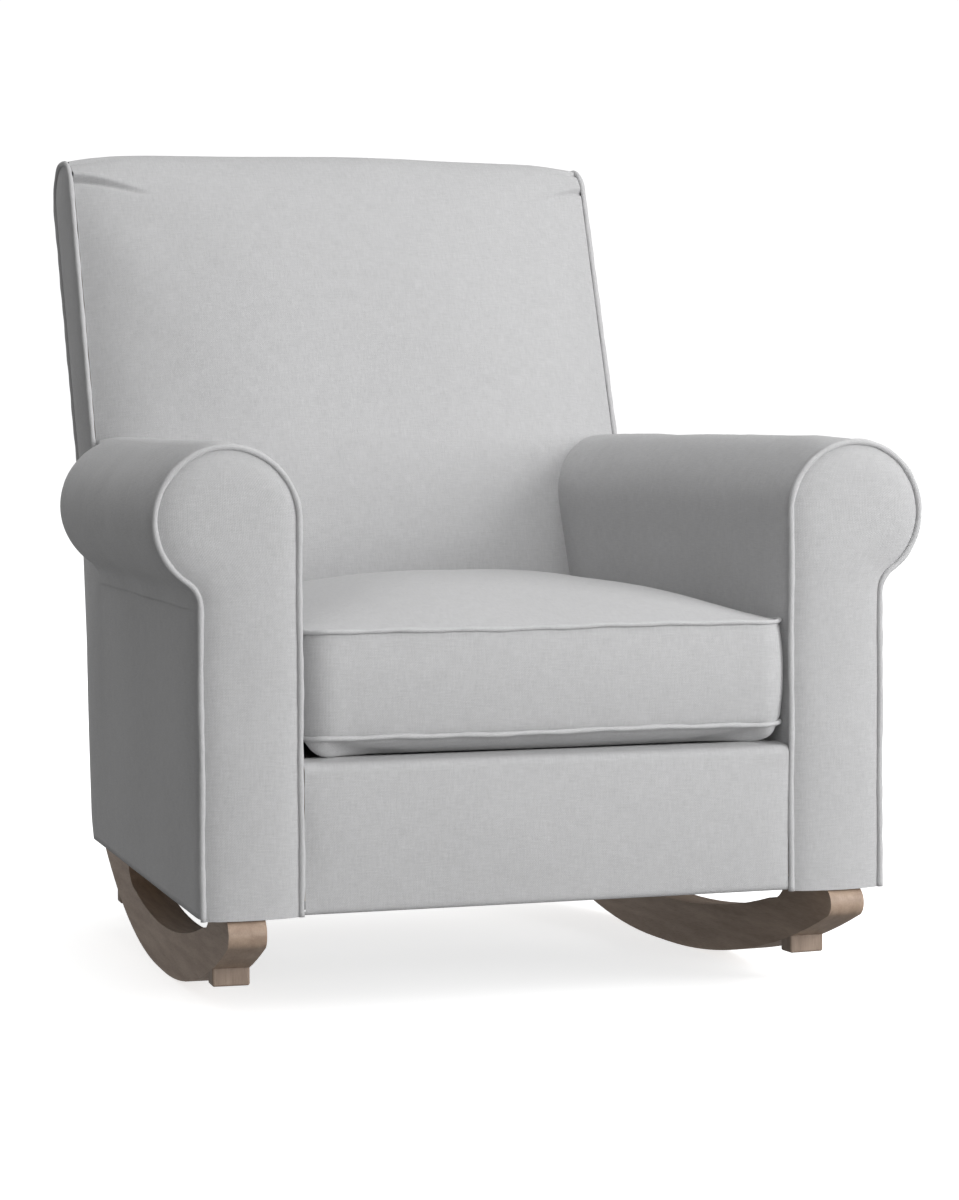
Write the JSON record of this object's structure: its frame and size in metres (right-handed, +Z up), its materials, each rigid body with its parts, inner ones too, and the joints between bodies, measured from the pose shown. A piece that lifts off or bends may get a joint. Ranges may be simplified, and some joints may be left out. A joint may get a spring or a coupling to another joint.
{
  "type": "nursery rocking chair",
  "caption": "Upholstered nursery rocking chair with rolled arms, a raked tight back and a loose piped box cushion, on curved wooden runners with stop blocks.",
  "frame": {"origin": "on the floor, under the middle of the chair's overall width and depth", "axes": "+X towards the arm on the right as seen from the front, +Y towards the back of the chair (it faces -Y), +Z up"},
  "size_m": [0.8516, 0.9504, 0.9536],
  "materials": {
    "upholstery_fabric": "matt heathered weave",
    "runner_wood": "satin grey-brown stain",
    "frame_wood": "raw sawn",
    "zinc_steel": "zinc plated",
    "spring_steel": "oiled",
    "deck_cloth": "matt",
    "dust_cloth": "matt non-woven",
    "foam": "open-cell foam",
    "zip_tape": "matt",
    "zip_metal": "satin"
  },
  "bodies": {
    "chair": {"rocker_right": "runner_wood", "rocker_left": "runner_wood", "front_stop_block_right": "runner_wood", "front_stop_block_left": "runner_wood", "rear_stop_block_right": "runner_wood", "rear_stop_block_left": "runner_wood", "side_rail_right": "frame_wood", "side_rail_left": "frame_wood", "arm_front_board_right": "frame_wood", "arm_front_board_left": "frame_wood", "arm_top_board_right": "frame_wood", "arm_top_board_left": "frame_wood", "arm_rear_post_right": "frame_wood", "arm_rear_post_left": "frame_wood", "back_post_right": "frame_wood", "back_post_left": "frame_wood", "inside_arm_right": "upholstery_fabric", "inside_arm_left": "upholstery_fabric", "outside_arm_right": "upholstery_fabric", "outside_arm_left": "upholstery_fabric", "arm_front_panel_right": "upholstery_fabric", "arm_front_panel_left": "upholstery_fabric", "arm_welt_right": "upholstery_fabric", "arm_welt_left": "upholstery_fabric", "back_border_right": "upholstery_fabric", "back_border_left": "upholstery_fabric", "back_welt_right": "upholstery_fabric", "back_welt_left": "upholstery_fabric", "rocker_bolts": "zinc_steel", "rocker_washers": "zinc_steel", "rocker_barrel_nuts": "zinc_steel", "stop_block_screws": "zinc_steel", "front_rail": "frame_wood", "rear_rail": "frame_wood", "back_top_rail": "frame_wood", "back_mid_rail": "frame_wood", "back_low_rail": "frame_wood", "corner_blocks": "frame_wood", "seat_springs": "spring_steel", "seat_spring_clips": "zinc_steel", "back_springs": "spring_steel", "back_spring_clips": "zinc_steel", "front_rail_cover": "upholstery_fabric", "seat_deck": "deck_cloth", "dust_cover": "dust_cloth", "back_pad": "upholstery_fabric", "outside_back": "upholstery_fabric"},
    "cushion": {"seat_cushion": "upholstery_fabric", "cushion_core": "foam", "cushion_welt_top": "upholstery_fabric", "cushion_welt_bottom": "upholstery_fabric", "cushion_zip": "zip_tape"},
    "slider": {"zip_slider": "zip_metal"}
  },
  "joints": [
    {"name": "cushion_lift", "type": "slide", "parent": "chair", "child": "cushion", "axis": [0, 0, 1], "range_m": [0, 0.36]},
    {"name": "zip_run", "type": "slide", "parent": "cushion", "child": "slider", "axis": [-1, 0, 0], "range_m": [0, 0.38]}
  ]
}
